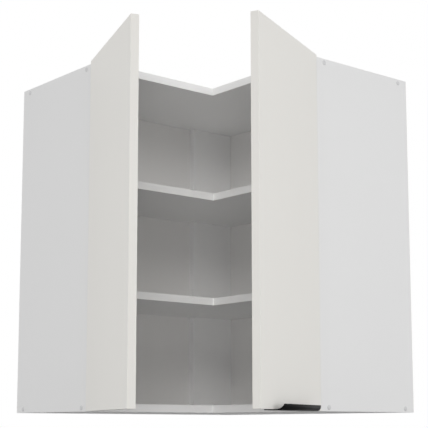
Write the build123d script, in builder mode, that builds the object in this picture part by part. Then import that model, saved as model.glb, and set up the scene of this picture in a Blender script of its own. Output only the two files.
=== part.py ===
from build123d import *
import os
from math import atan2, cos, degrees, hypot, radians, sin, sqrt

os.makedirs("parts", exist_ok=True)

# Corner wall cabinet with two wings and two doors. All sizes are millimetres.
# The origin is the rear corner of the cabinet at its underside, where the two
# walls meet. The right wing runs along +X in front of the wall at Y = 0, and the
# left wing along -Y in front of the wall at X = 0. Both doors stand open.

# ---- Carcass ----------------------------------------------------------------
right_wing_length = 600.0
left_wing_length = 600.0
cabinet_height = 716.0
carcass_depth = 290.0
board_thickness = 16.0
board_edge_radius = 0.4
inner_corner_radius = 0.5
shelf_setback = 16.0
shelf_play = 0.5

# ---- Back -------------------------------------------------------------------
back_recess = 13.0
back_thickness = 3.0
groove_depth = 8.0
groove_play = 0.4
back_panel_play = 0.5
strip_width = 120.0
strip_thickness = 16.0

# ---- Doors ------------------------------------------------------------------
door_thickness = 16.0
door_edge_radius = 0.5
door_reveal = 2.0
door_gap = 2.0
door_bottom_gap = 0.5
door_top_gap = 1.5
door_meeting_gap = 2.0
door_tuck = 10.0
right_door_angle = 114.0
left_door_angle = 110.0

# ---- Handle under the right door --------------------------------------------
handle_length = 174.0
handle_edge_distance = 54.0
handle_reach = 22.6
handle_rise = 9.6
handle_plate = 1.6
handle_lip = 1.2
handle_nose_radius = 9.0
handle_curl_start = 4.5
handle_back_height = 20.0
handle_screw_spacing = 128.0
handle_screw_height = 11.0

# ---- Cup hinges, two to a door ----------------------------------------------
hinge_inset = 100.0
cup_radius = 17.5
cup_edge_distance = 5.0
cup_wall = 1.0
cup_floor = 0.8
cup_flange = 1.2
cup_skin = 3.0
cup_ear_radius = 4.6
cup_screw_spacing = 45.0
cup_screw_offset = 9.5
link_width = 10.0
link_eye_radius = 2.6
link_bar_radius = 1.3
link_tip_radius = 1.7
link_play = 0.4
link_tip_depth = 0.5
pivot_radius = 1.5
pivot_standoff = 3.0
pivot_setback = 4.0
arm_width = 17.0
arm_wall = 1.5
arm_height = 11.0
arm_length = 66.0
arm_nose = 14.0
plate_setback = 37.0
plate_width = 14.0
plate_height = 46.0
plate_thickness = 2.0
plate_screw_spacing = 32.0
rail_width = 12.0
rail_length = 50.0

# ---- Screws, dowels, pins and pads --------------------------------------------
carcass_screw_back = 26.0
carcass_screw_front = 39.0
carcass_screw_radius = 3.5
carcass_thread_radius = 2.5
carcass_head_radius = 4.4
carcass_head_height = 3.0
carcass_screw_length = 50.0
cap_radius = 5.0
cap_height = 1.2
dowel_radius = 4.0
dowel_length = 30.0
dowel_in_panel = 11.0
dowel_back = 85.0
dowel_front = 98.0
shelf_pin_radius = 2.5
shelf_pin_depth = 8.0
shelf_pin_reach = 9.0
shelf_pin_rest = 1.5
shelf_pin_collar = 4.0
shelf_pin_inset = 40.0
small_screw_radius = 1.7
small_head_radius = 3.2
small_head_height = 1.3
small_screw_grip = 11.0
back_screw_inset = 40.0
bumper_radius = 4.0
bumper_inset_side = 20.0
bumper_inset_end = 7.5
contact_gap = 0.3
fit_gap = 0.05

# ---- Wall hangers, one in each wing -------------------------------------------
hanger_depth = 52.0
hanger_height = 42.0
hanger_thickness = 15.0
hanger_corner_radius = 5.0
hanger_drop = 8.0
hanger_screw_spacing = 24.0
hanger_screw_inset = 5.0
hook_thickness = 3.0
hook_tongue = 12.0
hook_claw = 3.5
hook_claw_drop = 12.0
hook_wall_gap = 3.0
hook_insert = 30.0
hook_opening = 4.0
adjuster_radius = 3.0
adjuster_length = 14.0

# ---- Derived sizes ----------------------------------------------------------
back_face = back_recess + back_thickness
front_plane = carcass_depth + door_gap
shelf_front = carcass_depth - shelf_setback
bay_height = (cabinet_height - 4 * board_thickness) / 3
lower_shelf_level = board_thickness + bay_height
upper_shelf_level = lower_shelf_level + board_thickness + bay_height
door_height = cabinet_height - door_bottom_gap - door_top_gap
door_middle = door_bottom_gap + door_height / 2
left_door_width = left_wing_length - door_reveal - (front_plane + door_thickness - door_tuck)
right_door_width = right_wing_length - door_reveal - (
    front_plane + door_thickness + door_meeting_gap
)
hinge_spacing = door_height - 2 * hinge_inset
hinge_heights = (door_middle - hinge_spacing / 2, door_middle + hinge_spacing / 2)
cup_centre = cup_edge_distance + cup_radius
cup_depth = door_thickness - cup_skin
panel_inner = board_thickness - door_reveal
pivot_along = panel_inner + pivot_standoff
pivot_out = -(door_gap + pivot_setback)
hanger_middle = cabinet_height - board_thickness - hanger_drop - hanger_height / 2
board_middles = (board_thickness / 2, cabinet_height - board_thickness / 2)
cap_edge_radius = 0.8 * cap_height
handle_sink_depth = 0.9 * handle_plate
hinge_limit = max(right_door_angle, left_door_angle)
sunk = (Align.CENTER, Align.CENTER, Align.MAX)
raised = (Align.CENTER, Align.CENTER, Align.MIN)


class Wing:
    """One wing with its end panel, its door and the door's hinge line.

    along points from the walls' corner to the end panel, and forward points from
    the wall into the room. hand is 1 on the right and -1 on the left.
    """

    def __init__(self, name, hand, length, door_width, door_angle):
        self.name = name
        self.hand = hand
        self.length = length
        self.door_width = door_width
        self.door_angle = door_angle
        self.along = Vector(1, 0, 0) if hand > 0 else Vector(0, -1, 0)
        self.forward = Vector(0, -1, 0) if hand > 0 else Vector(1, 0, 0)

    def outer_face(self):
        """Outside of the end panel: (-hand * depth, height)."""
        return Plane(
            origin=self.along * self.length, x_dir=self.forward * -self.hand, z_dir=self.along
        )

    def board_end(self):
        """End of the boards at the end panel: (-hand * depth, height)."""
        return self.outer_face().offset(-board_thickness)

    def inner_face(self):
        """Inside of the end panel, facing into the cabinet: (hand * depth, height)."""
        return Plane(
            origin=self.along * (self.length - board_thickness),
            x_dir=self.forward * self.hand,
            z_dir=self.along * -1,
        )

    def back_plane(self):
        """Rear of the back panel, facing the wall: (-hand * reach, height)."""
        return Plane(
            origin=self.forward * back_recess,
            x_dir=self.along * -self.hand,
            z_dir=self.forward * -1,
        )

    def hinge_plan(self, opened_by):
        """Plan of the door: x from the hinge edge along it, hand * y out of its face."""
        hinge_line = self.along * (self.length - door_reveal) + self.forward * front_plane
        closed = Plane(origin=hinge_line, x_dir=self.along * -1, z_dir=(0, 0, 1))
        return closed.rotated((0, 0, self.hand * opened_by))

    def door_back(self):
        """Inner face of the open door at its middle height, facing into the door."""
        plan = self.hinge_plan(self.door_angle)
        middle = plan.origin + Vector(0, 0, door_middle)
        return Plane(origin=middle, x_dir=plan.x_dir, z_dir=plan.y_dir * self.hand)

    def plan_points(self, points):
        """Points given along and out of the door, in the plan's own x and y."""
        return [(along, self.hand * out) for along, out in points]


right = Wing("right", 1, right_wing_length, right_door_width, right_door_angle)
left = Wing("left", -1, left_wing_length, left_door_width, left_door_angle)
wings = (left, right)


def save(piece, label):
    piece.part.label = label
    export_step(piece.part, f"parts/{label}.step")


def pegs(plane, points, start, end, radius):
    """Round pegs that run down from a plane, between two depths."""
    with Locations(plane.offset(-start)):
        with Locations(*points):
            Cylinder(radius, end - start, align=sunk)


def holes(plane, points, depth, radius):
    """Round holes that run down from a plane."""
    with Locations(plane):
        with Locations(*points):
            Cylinder(radius, depth, align=sunk, mode=Mode.SUBTRACT)


def screws(plane, points, grip):
    """Small round-headed screws whose heads stand on a plane."""
    pegs(plane, points, -small_head_height, 0, small_head_radius)
    pegs(plane, points, 0, grip, small_screw_radius)


def flipped(plane):
    """The same plane facing the other way, with its local y turned over."""
    return Plane(origin=plane.origin, x_dir=plane.x_dir, z_dir=plane.z_dir * -1)


def mirrored(points):
    """Points of a plane as they lie on the flipped plane."""
    return [(x, -y) for x, y in points]


# ---- Where the fastenings lie -------------------------------------------------
def carcass_screw_points(sign, heights):
    depths = (carcass_screw_back, carcass_depth - carcass_screw_front)
    return [(sign * depth, height) for depth in depths for height in heights]


def dowel_points(sign, heights):
    depths = (dowel_back, carcass_depth - dowel_front)
    return [(sign * depth, height) for depth in depths for height in heights]


def shelf_pin_heights():
    drop = shelf_pin_rest / 2
    return (lower_shelf_level - drop, upper_shelf_level - drop)


def shelf_pin_points(hand):
    depths = (back_face + shelf_pin_inset, shelf_front - shelf_pin_inset)
    return [(hand * depth, height) for depth in depths for height in shelf_pin_heights()]


def plate_screw_points(hand):
    depth = carcass_depth - plate_setback
    reach = plate_screw_spacing / 2
    return [(hand * depth, height + side * reach) for height in hinge_heights for side in (-1, 1)]


def hanger_screw_points(hand):
    depth = back_face + hanger_depth / 2
    height = hanger_middle - hanger_height / 2 + hanger_screw_inset
    half = hanger_screw_spacing / 2
    return [(hand * (depth + side * half), height) for side in (-1, 1)]


def strip_face():
    """Front of the corner strip, facing into the left wing: (reach, height)."""
    return Plane(origin=(back_face + strip_thickness, 0, 0), x_dir=(0, 1, 0), z_dir=(1, 0, 0))


def strip_pin_points():
    levels = (lower_shelf_level, upper_shelf_level)
    return [(-(back_face + strip_width / 2), level + shelf_pin_radius) for level in levels]


def cup_screw_points():
    along = cup_centre + cup_screw_offset
    heights = [side * hinge_spacing / 2 for side in (-1, 1)]
    return [
        (along, height + side * cup_screw_spacing / 2) for height in heights for side in (-1, 1)
    ]


def cup_points():
    return [(cup_centre, side * hinge_spacing / 2) for side in (-1, 1)]


# ---- Hinge linkage --------------------------------------------------------------
# These points are measured from the pivot, along the shut door and out of its face.
def shut_tip():
    """Tip of the link in the far side of the cup with the door shut."""
    half_mouth = sqrt((cup_radius - cup_wall) ** 2 - (link_width / 2) ** 2)
    along = cup_centre + half_mouth - link_tip_radius - link_play
    out = cup_depth - cup_floor - link_tip_radius - link_play
    return (along - pivot_along, out - pivot_out)


def open_tip():
    """Tip of the link at the mouth of the cup with the door at the hinge's limit."""
    swing = radians(hinge_limit)
    pivot_out_of_door = pivot_out * cos(swing) - pivot_along * sin(swing)
    out = link_tip_depth - pivot_out_of_door
    along = sqrt(hypot(*shut_tip()) ** 2 - out**2)
    return (along * cos(swing) - out * sin(swing), along * sin(swing) + out * cos(swing))


def link_bend():
    """Bend that takes the link round the front edge of the end panel at the limit."""
    return (panel_inner + link_bar_radius + contact_gap / 2 - pivot_along, -pivot_out)


def link_turn():
    """How far the link turns for each degree of the door."""
    shut_along, shut_out = shut_tip()
    open_along, open_out = open_tip()
    return degrees(atan2(open_out, open_along) - atan2(shut_out, shut_along)) / hinge_limit


def link_plan(wing):
    """Plan about the pivot, turned back from the limit to where the door stands."""
    shut = wing.hinge_plan(0)
    pivot = shut.from_local_coords((pivot_along, wing.hand * pivot_out, 0))
    turned_back = link_turn() * (hinge_limit - wing.door_angle)
    at_limit = Plane(origin=pivot, x_dir=shut.x_dir, z_dir=shut.z_dir)
    return at_limit.rotated((0, 0, -wing.hand * turned_back))


# ---- End panels -----------------------------------------------------------------
def side_panel(wing):
    with BuildPart() as panel:
        with BuildSketch(wing.outer_face()):
            with Locations((-wing.hand * carcass_depth / 2, cabinet_height / 2)):
                Rectangle(carcass_depth, cabinet_height)
        extrude(amount=-board_thickness)
        fillet(panel.edges(), radius=board_edge_radius)
        with BuildSketch(wing.inner_face()):
            with Locations((wing.hand * (back_recess + back_thickness / 2), cabinet_height / 2)):
                Rectangle(back_thickness + groove_play, cabinet_height)
        extrude(amount=-groove_depth, mode=Mode.SUBTRACT)
        with Locations(wing.outer_face()):
            with Locations(*carcass_screw_points(-wing.hand, board_middles)):
                CounterBoreHole(
                    carcass_screw_radius + fit_gap,
                    carcass_head_radius + fit_gap,
                    carcass_head_height,
                    board_thickness,
                )
        inside = wing.inner_face()
        dowel_spots = dowel_points(wing.hand, board_middles)
        holes(inside, dowel_spots, dowel_in_panel + fit_gap, dowel_radius + fit_gap)
        holes(
            inside, shelf_pin_points(wing.hand), shelf_pin_depth + fit_gap, shelf_pin_radius + fit_gap
        )
        holes(inside, plate_screw_points(wing.hand), small_screw_grip, small_screw_radius + fit_gap)
        holes(inside, hanger_screw_points(wing.hand), small_screw_grip, small_screw_radius + fit_gap)
    return panel


for wing in wings:
    save(side_panel(wing), f"{wing.name}_side_panel")


# ---- L-shaped boards --------------------------------------------------------------
def wing_outline(plane, rear, front, end_play):
    """Plan of an L-shaped board, with a small round in its inner corner."""
    right_end = right_wing_length - board_thickness - end_play
    left_end = left_wing_length - board_thickness - end_play
    with BuildSketch(plane) as outline:
        with BuildLine():
            Polyline(
                (rear, -rear),
                (right_end, -rear),
                (right_end, -front),
                (front, -front),
                (front, -left_end),
                (rear, -left_end),
                close=True,
            )
        make_face()
        corner = outline.vertices().sort_by_distance((front, -front))[0]
        fillet(corner, radius=inner_corner_radius)
    return outline.sketch


def outer_board(level, groove_level):
    """Top or bottom board, grooved for the back panels on its inner side."""
    with BuildPart() as board:
        extrude(
            wing_outline(Plane.XY.offset(level), 0, carcass_depth, 0), amount=board_thickness
        )
        fillet(board.edges(), radius=board_edge_radius)
        with BuildSketch(Plane.XY.offset(groove_level)):
            near = back_recess - groove_play / 2
            far = back_face + groove_play / 2
            with Locations((near, -near)):
                Rectangle(right_wing_length, far - near, align=(Align.MIN, Align.MAX))
                Rectangle(far - near, left_wing_length, align=(Align.MIN, Align.MAX))
        extrude(amount=groove_depth, mode=Mode.SUBTRACT)
        middle = level + board_thickness / 2
        for wing in wings:
            screw_spots = carcass_screw_points(-wing.hand, [middle])
            dowel_spots = dowel_points(-wing.hand, [middle])
            screw_depth = carcass_screw_length - board_thickness
            dowel_depth = dowel_length - dowel_in_panel
            holes(wing.board_end(), screw_spots, screw_depth, carcass_thread_radius + fit_gap)
            holes(wing.board_end(), dowel_spots, dowel_depth + fit_gap, dowel_radius + fit_gap)
    return board


save(outer_board(0, board_thickness - groove_depth), "bottom_board")
save(outer_board(cabinet_height - board_thickness, cabinet_height - board_thickness), "top_board")


def shelf(level):
    """Loose shelf, notched round the corner strip and slotted to drop over its pin."""
    with BuildPart() as board:
        outline = wing_outline(
            Plane.XY.offset(level), back_face + shelf_play, shelf_front, shelf_play
        )
        extrude(outline, amount=board_thickness)
        with BuildSketch(Plane.XY.offset(level)):
            with Locations((back_face, -back_face)):
                Rectangle(
                    strip_thickness + shelf_play,
                    strip_width + shelf_play,
                    align=(Align.MIN, Align.MAX),
                )
        extrude(amount=board_thickness, mode=Mode.SUBTRACT)
        fillet(board.edges(), radius=board_edge_radius)
        seat = shelf_pin_radius + fit_gap
        with BuildSketch(strip_face()):
            with Locations(*strip_pin_points()):
                Circle(seat)
                Rectangle(2 * seat, seat, align=(Align.CENTER, Align.MAX))
        extrude(amount=shelf_pin_reach + fit_gap, mode=Mode.SUBTRACT)
    return board


save(shelf(lower_shelf_level), "lower_shelf")
save(shelf(upper_shelf_level), "upper_shelf")


# ---- Back panels and corner strip ---------------------------------------------------
def back_screw_heights():
    inset = board_thickness + back_screw_inset
    return (inset, cabinet_height / 2, cabinet_height - inset)


def strip_screw_points(wing):
    """Screws through a back panel into the corner strip, on the wing's back plane."""
    reaches = [back_face + strip_thickness / 2]
    if wing is left:
        middle = back_face + strip_width / 2
        reaches = [middle - strip_width / 4, middle + strip_width / 4]
    return [(-wing.hand * reach, height) for reach in reaches for height in back_screw_heights()]


def back_panel(wing, start):
    low = board_thickness - groove_depth + back_panel_play
    high = cabinet_height - low
    end = wing.length - board_thickness + groove_depth - back_panel_play
    with BuildPart() as panel:
        with BuildSketch(wing.back_plane()):
            with Locations((-wing.hand * (start + end) / 2, cabinet_height / 2)):
                Rectangle(end - start, high - low)
            hook_reach = wing.length - board_thickness - hanger_thickness / 2
            with Locations((-wing.hand * hook_reach, hanger_middle)):
                Rectangle(
                    hook_thickness + 2 * hook_opening,
                    hook_tongue + hook_claw_drop + 2 * hook_opening,
                    mode=Mode.SUBTRACT,
                )
        extrude(amount=-back_thickness)
        holes(
            wing.back_plane(), strip_screw_points(wing), back_thickness, small_screw_radius + fit_gap
        )
    return panel


save(back_panel(left, back_face), "left_back_panel")
save(back_panel(right, back_recess), "right_back_panel")

with BuildPart() as corner_strip:
    with BuildSketch(Plane.XY.offset(board_thickness)):
        with Locations((back_face, -back_face)):
            Rectangle(strip_thickness, strip_width, align=(Align.MIN, Align.MAX))
    extrude(amount=cabinet_height - 2 * board_thickness)
    fillet(corner_strip.edges(), radius=board_edge_radius)
    for wing in wings:
        holes(
            wing.back_plane(),
            strip_screw_points(wing),
            back_thickness + small_screw_grip,
            small_screw_radius + fit_gap,
        )
    holes(strip_face(), strip_pin_points(), shelf_pin_depth + fit_gap, shelf_pin_radius + fit_gap)
save(corner_strip, "corner_strip")

with BuildPart() as back_panel_screws:
    for wing in wings:
        screws(wing.back_plane(), strip_screw_points(wing), back_thickness + small_screw_grip)
save(back_panel_screws, "back_panel_screws")


# ---- Carcass fastenings ---------------------------------------------------------------
with BuildPart() as carcass_screws:
    for wing in wings:
        spots = carcass_screw_points(-wing.hand, board_middles)
        pegs(wing.outer_face(), spots, 0, carcass_head_height, carcass_head_radius)
        pegs(
            wing.outer_face(), spots, carcass_head_height, board_thickness, carcass_screw_radius
        )
        pegs(
            wing.outer_face(), spots, board_thickness, carcass_screw_length, carcass_thread_radius
        )
save(carcass_screws, "carcass_screws")

with BuildPart() as screw_caps:
    for wing in wings:
        spots = carcass_screw_points(-wing.hand, board_middles)
        pegs(wing.outer_face(), spots, -cap_height, 0, cap_radius)
    for wing in wings:
        rims = screw_caps.edges().filter_by(GeomType.CIRCLE)
        outer_rims = rims.filter_by(
            lambda rim, wing=wing: abs(rim.center().dot(wing.along) - wing.length - cap_height) < 0.01
        )
        fillet(outer_rims, radius=cap_edge_radius)
save(screw_caps, "screw_caps")

with BuildPart() as dowels:
    for wing in wings:
        pegs(
            wing.board_end(),
            dowel_points(-wing.hand, board_middles),
            -dowel_in_panel,
            dowel_length - dowel_in_panel,
            dowel_radius,
        )
save(dowels, "dowels")


def shelf_pin_set(plane, points):
    """Pins with a stem in the board, a collar and a flat rest under the shelf."""
    collar_thickness = shelf_play - 2 * fit_gap
    pegs(plane, points, 0, shelf_pin_depth, shelf_pin_radius)
    pegs(plane, points, -collar_thickness, 0, shelf_pin_collar)
    with Locations(plane):
        with Locations(*points):
            Box(2 * shelf_pin_collar, shelf_pin_rest, shelf_pin_reach, align=raised)


with BuildPart() as shelf_pins:
    for wing in wings:
        shelf_pin_set(wing.inner_face(), shelf_pin_points(wing.hand))
    pegs(strip_face(), strip_pin_points(), -shelf_pin_reach, shelf_pin_depth, shelf_pin_radius)
save(shelf_pins, "shelf_pins")


# ---- Wall hangers ------------------------------------------------------------------------
def hook_profile():
    """Side view of the hook as depth from the wall and height."""
    top = hanger_middle + hook_tongue / 2
    under = hanger_middle - hook_tongue / 2
    rear = hook_wall_gap
    return [
        (rear, top),
        (back_face + hook_insert, top),
        (back_face + hook_insert, under),
        (rear + hook_claw, under),
        (rear + hook_claw, under - hook_claw_drop),
        (rear, under - hook_claw_drop),
    ]


def hanger_body(wing):
    with BuildPart() as body:
        with BuildSketch(wing.inner_face()):
            with Locations((wing.hand * (back_face + contact_gap + hanger_depth / 2), hanger_middle)):
                RectangleRounded(hanger_depth, hanger_height, hanger_corner_radius)
        extrude(amount=hanger_thickness)
        slot_floor = (hanger_thickness - hook_thickness) / 2 - contact_gap
        with BuildSketch(wing.inner_face().offset(slot_floor)):
            slot_depth = hook_insert + contact_gap
            with Locations((wing.hand * (back_face + slot_depth / 2), hanger_middle)):
                Rectangle(slot_depth, hook_tongue + 2 * contact_gap)
        extrude(amount=hook_thickness + 2 * contact_gap, mode=Mode.SUBTRACT)
        outside = wing.inner_face().offset(hanger_thickness)
        spots = hanger_screw_points(wing.hand)
        holes(outside, spots, hanger_thickness, small_screw_radius + fit_gap)
        with Locations(hanger_front(wing)):
            with Locations(*adjuster_points()):
                Cylinder(
                    adjuster_radius + fit_gap, adjuster_length, align=sunk, mode=Mode.SUBTRACT
                )
    return body


def hanger_front(wing):
    """Front of the hanger, facing into the room: (0, height) on its middle line."""
    reach = wing.length - board_thickness - hanger_thickness / 2
    depth = back_face + contact_gap + hanger_depth
    return Plane(
        origin=wing.along * reach + wing.forward * depth,
        x_dir=wing.along * wing.hand,
        z_dir=wing.forward,
    )


def adjuster_points():
    return [(0, hanger_middle - hanger_height / 4), (0, hanger_middle + hanger_height / 4)]


def hanger_hook(wing):
    with BuildPart() as hook:
        with BuildSketch(
            wing.inner_face().offset((hanger_thickness - hook_thickness) / 2)
        ):
            with BuildLine():
                Polyline(
                    *[(wing.hand * depth, height) for depth, height in hook_profile()], close=True
                )
            make_face()
        extrude(amount=hook_thickness)
    return hook


for wing in wings:
    save(hanger_body(wing), f"{wing.name}_hanger_body")
    save(hanger_hook(wing), f"{wing.name}_hanger_hook")

with BuildPart() as hanger_screws:
    for wing in wings:
        outside = wing.inner_face().offset(hanger_thickness)
        screws(outside, hanger_screw_points(wing.hand), hanger_thickness + small_screw_grip)
save(hanger_screws, "hanger_screws")

with BuildPart() as hanger_adjusters:
    for wing in wings:
        pegs(hanger_front(wing), adjuster_points(), 0, adjuster_length, adjuster_radius)
save(hanger_adjusters, "hanger_adjusters")


# ---- Hinges on the carcass ------------------------------------------------------------------
def rail_height():
    return arm_height - arm_wall - contact_gap


def adjusting_screw_points(hand):
    rear = carcass_depth - plate_setback - rail_length / 4
    front = carcass_depth - plate_setback + rail_length / 4
    return [(hand * depth, height) for depth in (rear, front) for height in hinge_heights]


def hinge_plates(wing):
    with BuildPart() as plates:
        for height in hinge_heights:
            spot = (wing.hand * (carcass_depth - plate_setback), height)
            with BuildSketch(wing.inner_face()):
                with Locations(spot):
                    SlotOverall(plate_height, plate_width, rotation=90)
            extrude(amount=plate_thickness)
            with BuildSketch(wing.inner_face()):
                with Locations(spot):
                    Rectangle(rail_length, rail_width)
            extrude(amount=rail_height())
        holes(
            wing.inner_face().offset(plate_thickness),
            plate_screw_points(wing.hand),
            plate_thickness,
            small_screw_radius + fit_gap,
        )
        holes(
            wing.inner_face().offset(rail_height()),
            adjusting_screw_points(wing.hand),
            rail_height(),
            small_screw_radius + fit_gap,
        )
    return plates


def arm_profile():
    """Side view of an arm from its rear end round to its pivot eye."""
    rear = pivot_out - arm_length
    low = panel_inner + plate_thickness + contact_gap
    top = panel_inner + arm_height
    return [
        (low, rear),
        (top, rear),
        (top, pivot_out - arm_nose / 2),
        (pivot_along + link_eye_radius, pivot_out),
        (pivot_along, pivot_out),
        (low, pivot_out - arm_nose / 2),
    ]


def hinge_arms(wing):
    plan = wing.hinge_plan(0)
    with BuildPart() as arms:
        for height in hinge_heights:
            with BuildSketch(plan.offset(height - arm_width / 2)):
                with BuildLine():
                    Polyline(*wing.plan_points(arm_profile()), close=True)
                make_face()
                with Locations(*wing.plan_points([(pivot_along, pivot_out)])):
                    Circle(link_eye_radius)
            extrude(amount=arm_width)
            with BuildSketch(plan.offset(height - arm_width / 2 + arm_wall)):
                inside = [
                    (panel_inner, pivot_out - arm_length),
                    (panel_inner + arm_height - arm_wall, pivot_out - arm_length),
                    (panel_inner + arm_height - arm_wall, pivot_out - arm_nose),
                    (panel_inner + arm_height, pivot_out - arm_nose),
                    (panel_inner + arm_height, pivot_out + link_eye_radius),
                    (panel_inner, pivot_out + link_eye_radius),
                ]
                with BuildLine():
                    Polyline(*wing.plan_points(inside), close=True)
                make_face()
            extrude(amount=arm_width - 2 * arm_wall, mode=Mode.SUBTRACT)
            holes(
                plan.offset(height + arm_width / 2),
                wing.plan_points([(pivot_along, pivot_out)]),
                arm_width,
                pivot_radius + fit_gap,
            )
        holes(
            wing.inner_face().offset(arm_height),
            adjusting_screw_points(wing.hand),
            arm_wall,
            small_screw_radius + fit_gap,
        )
    return arms


def hinge_links(wing):
    """Bent bars that turn on the arms' pivots and reach round to the cups."""
    plan = link_plan(wing)
    pivot, bend, tip = wing.plan_points([(0, 0), link_bend(), open_tip()])
    with BuildPart() as links:
        for height in hinge_heights:
            floor = plan.offset(height - link_width / 2)
            with BuildSketch(floor):
                with Locations(pivot):
                    Circle(link_eye_radius)
                with Locations(bend):
                    Circle(link_bar_radius)
                make_hull()
            extrude(amount=link_width)
            with BuildSketch(floor):
                with Locations(bend):
                    Circle(link_bar_radius)
                with Locations(tip):
                    Circle(link_tip_radius)
                make_hull()
            extrude(amount=link_width)
            holes(
                plan.offset(height + link_width / 2),
                [pivot],
                link_width,
                pivot_radius + 2 * fit_gap,
            )
    return links


for wing in wings:
    save(hinge_plates(wing), f"{wing.name}_hinge_plates")
    save(hinge_arms(wing), f"{wing.name}_hinge_arms")
    save(hinge_links(wing), f"{wing.name}_hinge_links")

with BuildPart() as hinge_pivots:
    for wing in wings:
        spots = wing.plan_points([(pivot_along, pivot_out)])
        for height in hinge_heights:
            top = wing.hinge_plan(0).offset(height + arm_width / 2)
            pegs(top, spots, 0, arm_width, pivot_radius)
save(hinge_pivots, "hinge_pivots")

with BuildPart() as hinge_plate_screws:
    for wing in wings:
        face = wing.inner_face().offset(plate_thickness)
        screws(face, plate_screw_points(wing.hand), plate_thickness + small_screw_grip - contact_gap)
save(hinge_plate_screws, "hinge_plate_screws")

with BuildPart() as hinge_adjusting_screws:
    for wing in wings:
        face = wing.inner_face().offset(arm_height)
        screws(face, adjusting_screw_points(wing.hand), arm_height - contact_gap)
save(hinge_adjusting_screws, "hinge_adjusting_screws")


# ---- Doors and what rides on them ---------------------------------------------------------------
def bumper_points(wing):
    along = wing.door_width - bumper_inset_side
    return [(along, side * (door_height / 2 - bumper_inset_end)) for side in (-1, 1)]


def handle_screw_points():
    middle = right_door_width - handle_edge_distance - handle_length / 2
    height = handle_screw_height - door_height / 2
    half = handle_screw_spacing / 2
    # The right door's back plane is upside down, so heights change sign on it.
    return [(middle + side * half, -height) for side in (-1, 1)]


def door(wing):
    with BuildPart() as slab:
        with BuildSketch(wing.door_back()):
            with Locations((wing.door_width / 2, 0)):
                Rectangle(wing.door_width, door_height)
        extrude(amount=door_thickness)
        fillet(slab.edges(), radius=door_edge_radius)
        into_door = flipped(wing.door_back())
        holes(into_door, mirrored(cup_points()), cup_depth, cup_radius + fit_gap)
        holes(
            into_door, mirrored(cup_screw_points()), small_screw_grip, small_screw_radius + fit_gap
        )
        if wing is right:
            holes(
                into_door,
                mirrored(handle_screw_points()),
                small_screw_grip,
                small_screw_radius + fit_gap,
            )
    return slab


def hinge_cups(wing):
    face = wing.door_back()
    with BuildPart() as cups:
        for centre in cup_points():
            with BuildSketch(face.offset(-cup_flange)):
                with Locations(centre):
                    Circle(cup_radius + cup_wall)
                with Locations(
                    (centre[0] + cup_screw_offset, centre[1] - cup_screw_spacing / 2),
                    (centre[0] + cup_screw_offset, centre[1] + cup_screw_spacing / 2),
                ):
                    Circle(cup_ear_radius)
                make_hull()
            extrude(amount=cup_flange)
            with BuildSketch(face):
                with Locations(centre):
                    Circle(cup_radius)
            extrude(amount=cup_depth - fit_gap)
            with BuildSketch(face.offset(-cup_flange)):
                with Locations(centre):
                    Circle(cup_radius - cup_wall)
            extrude(amount=cup_flange + cup_depth - cup_floor, mode=Mode.SUBTRACT)
            with BuildSketch(face.offset(-cup_flange)):
                with Locations((0, centre[1])):
                    Rectangle(
                        cup_centre,
                        link_width + 2 * contact_gap,
                        align=(Align.MIN, Align.CENTER),
                    )
            extrude(amount=cup_flange + cup_depth / 2, mode=Mode.SUBTRACT)
        holes(
            flipped(face.offset(-cup_flange)),
            mirrored(cup_screw_points()),
            cup_flange,
            small_screw_radius + fit_gap,
        )
    return cups


def cup_screws(wing):
    with BuildPart() as fixings:
        face = flipped(wing.door_back().offset(-cup_flange))
        screws(face, mirrored(cup_screw_points()), cup_flange + small_screw_grip - contact_gap)
    return fixings


def door_bumpers(wing):
    thickness = door_gap - contact_gap
    with BuildPart() as bumpers:
        with BuildSketch(wing.door_back().offset(-thickness)):
            with Locations(*bumper_points(wing)):
                Circle(bumper_radius)
        extrude(amount=thickness)
    return bumpers


for wing in wings:
    save(door(wing), f"{wing.name}_door")
    save(hinge_cups(wing), f"{wing.name}_hinge_cups")
    save(cup_screws(wing), f"{wing.name}_cup_screws")
    save(door_bumpers(wing), f"{wing.name}_door_bumpers")


# ---- Handle ------------------------------------------------------------------------------------------
def handle_screw_face():
    """Rear of the handle's flange, facing away from the door."""
    return flipped(right.door_back().offset(-handle_plate))


def sunk_heads(play, mode):
    """Tapered heads of the handle's screws, or their seats in the flange."""
    with Locations(handle_screw_face()):
        with Locations(*mirrored(handle_screw_points())):
            Cone(
                small_screw_radius + play,
                small_head_radius + play,
                handle_sink_depth,
                align=sunk,
                mode=mode,
            )


def handle_end():
    """Hinge-side end of the handle: (out of the door's back, up from its bottom edge)."""
    plan = right.hinge_plan(right.door_angle)
    start = right_door_width - handle_edge_distance - handle_length
    origin = plan.origin + plan.x_dir * start + Vector(0, 0, door_bottom_gap)
    return Plane(origin=origin, x_dir=plan.y_dir, z_dir=plan.x_dir)


with BuildPart() as handle:
    with BuildSketch(handle_end()):
        lip_front = door_thickness + handle_reach
        lip_back = lip_front - handle_lip
        nose_start = lip_front - handle_nose_radius
        nose_top = handle_nose_radius - handle_plate
        curl_start = door_thickness + handle_curl_start
        with BuildLine():
            Line((-handle_plate, handle_back_height), (-handle_plate, -handle_plate))
            Line((-handle_plate, -handle_plate), (nose_start, -handle_plate))
            TangentArc((nose_start, -handle_plate), (lip_front, nose_top), tangent=(1, 0))
            Line((lip_front, nose_top), (lip_front, handle_rise))
            Line((lip_front, handle_rise), (lip_back, handle_rise))
            TangentArc((curl_start, 0), (lip_back, handle_rise), tangent=(1, 0))
            Line((curl_start, 0), (0, 0))
            Line((0, 0), (0, handle_back_height))
            Line((0, handle_back_height), (-handle_plate, handle_back_height))
        make_face()
    extrude(amount=handle_length)
    holes(
        handle_screw_face(),
        mirrored(handle_screw_points()),
        handle_plate,
        small_screw_radius + fit_gap,
    )
    sunk_heads(fit_gap, Mode.SUBTRACT)
save(handle, "handle")

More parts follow.
